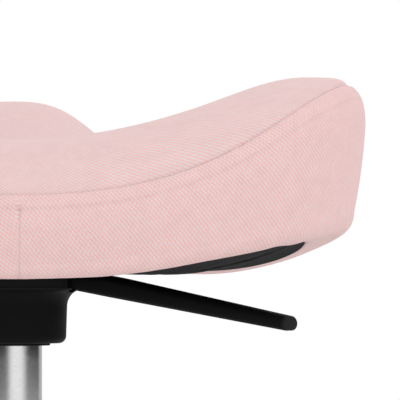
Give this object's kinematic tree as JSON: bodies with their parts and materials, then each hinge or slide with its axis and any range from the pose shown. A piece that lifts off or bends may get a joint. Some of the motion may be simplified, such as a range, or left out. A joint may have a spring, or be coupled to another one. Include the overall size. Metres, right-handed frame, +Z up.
{
  "type": "balance stool",
  "caption": "Padded saddle seat with raised wings on a lever-released gas lift, standing on a weighted round base with a rocking underside.",
  "frame": {"origin": "on the floor, on the axis of the column, in the middle of the round base", "axes": "+Z up along the column, +Y the sitter's forward toward the seat's nose, +X the sitter's right, where the lever is"},
  "size_m": [0.3899, 0.39, 0.7036],
  "materials": {
    "seat_fabric": "twill weave of salmon and pale grey threads, matt",
    "underside_fabric": "charcoal lining cloth, matt",
    "foam": "cut cold-cure foam",
    "seat_shell": "moulded, fine texture",
    "black_nylon": "moulded, satin",
    "lever_nylon": "moulded, satin",
    "base_nylon": "moulded, fine spark texture",
    "bush_nylon": "turned, smooth",
    "black_steel": "powder coat, satin",
    "column_black": "powder coat, satin",
    "black_hardware": "blackened steel",
    "zinc_hardware": "zinc plated",
    "satin_tube": "ground tube, satin chrome",
    "chrome_rod": "hard chrome, polished",
    "brass": "turned",
    "rubber_seal": "matt",
    "tread_rubber": "matt, lightly worn",
    "ballast_iron": "as cast"
  },
  "bodies": {
    "base": {"column_tube": "column_black", "guide_bush": "bush_nylon", "trim_ring": "black_nylon", "end_plate": "zinc_hardware", "lower_washer": "zinc_hardware", "base_shell": "base_nylon", "ballast_ring": "ballast_iron", "bottom_plate": "zinc_hardware", "plate_bolts": "zinc_hardware", "tread_pad": "tread_rubber"},
    "bearing": {"ball_cage": "zinc_hardware"},
    "spindle": {"piston_rod": "chrome_rod", "piston": "zinc_hardware", "piston_seal": "rubber_seal", "rod_buffer": "rubber_seal", "upper_washer": "zinc_hardware", "rod_clip": "zinc_hardware"},
    "seat": {"top_cover": "seat_fabric", "side_band": "seat_fabric", "under_cover": "underside_fabric", "foam_core": "foam", "seat_shell": "seat_shell", "tee_nuts": "zinc_hardware", "seat_screws": "black_hardware", "seat_plate": "black_steel", "hub_screws": "zinc_hardware", "hub": "black_nylon", "lever_pivot": "zinc_hardware", "pressure_tube": "satin_tube", "valve_body": "zinc_hardware", "rod_guide": "brass"},
    "lever": {"lever_arm": "black_hardware", "lever_grip": "lever_nylon"},
    "valve": {"valve_pin": "brass"}
  },
  "joints": [
    {"name": "swivel", "type": "hinge", "parent": "base", "child": "spindle", "pos_m": [0, 0, 0.02], "axis": [0, 0, 1], "continuous": true},
    {"name": "bearing_roll", "type": "hinge", "parent": "base", "child": "bearing", "pos_m": [0, 0, 0.02], "axis": [0, 0, 1], "continuous": true},
    {"name": "lift", "type": "slide", "parent": "spindle", "child": "seat", "axis": [0, 0, 1], "range_m": [-0.135, 0.125]},
    {"name": "lever_pull", "type": "hinge", "parent": "seat", "child": "lever", "pos_m": [0.01977, -0.00964, 0.5952], "axis": [-0.4384, -0.8988, 0], "range_deg": [0, 3.5], "stiffness_Nm_per_rad": 12, "springref_deg": -2.86},
    {"name": "valve_press", "type": "slide", "parent": "seat", "child": "valve", "axis": [0, 0, -1], "range_m": [0, 0.0014]}
  ],
  "couplings": [
    {"joint": "bearing_roll", "follows": "swivel", "ratio": 0.5},
    {"joint": "valve_press", "follows": "lever_pull", "m_per_rad": 0.022}
  ]
}
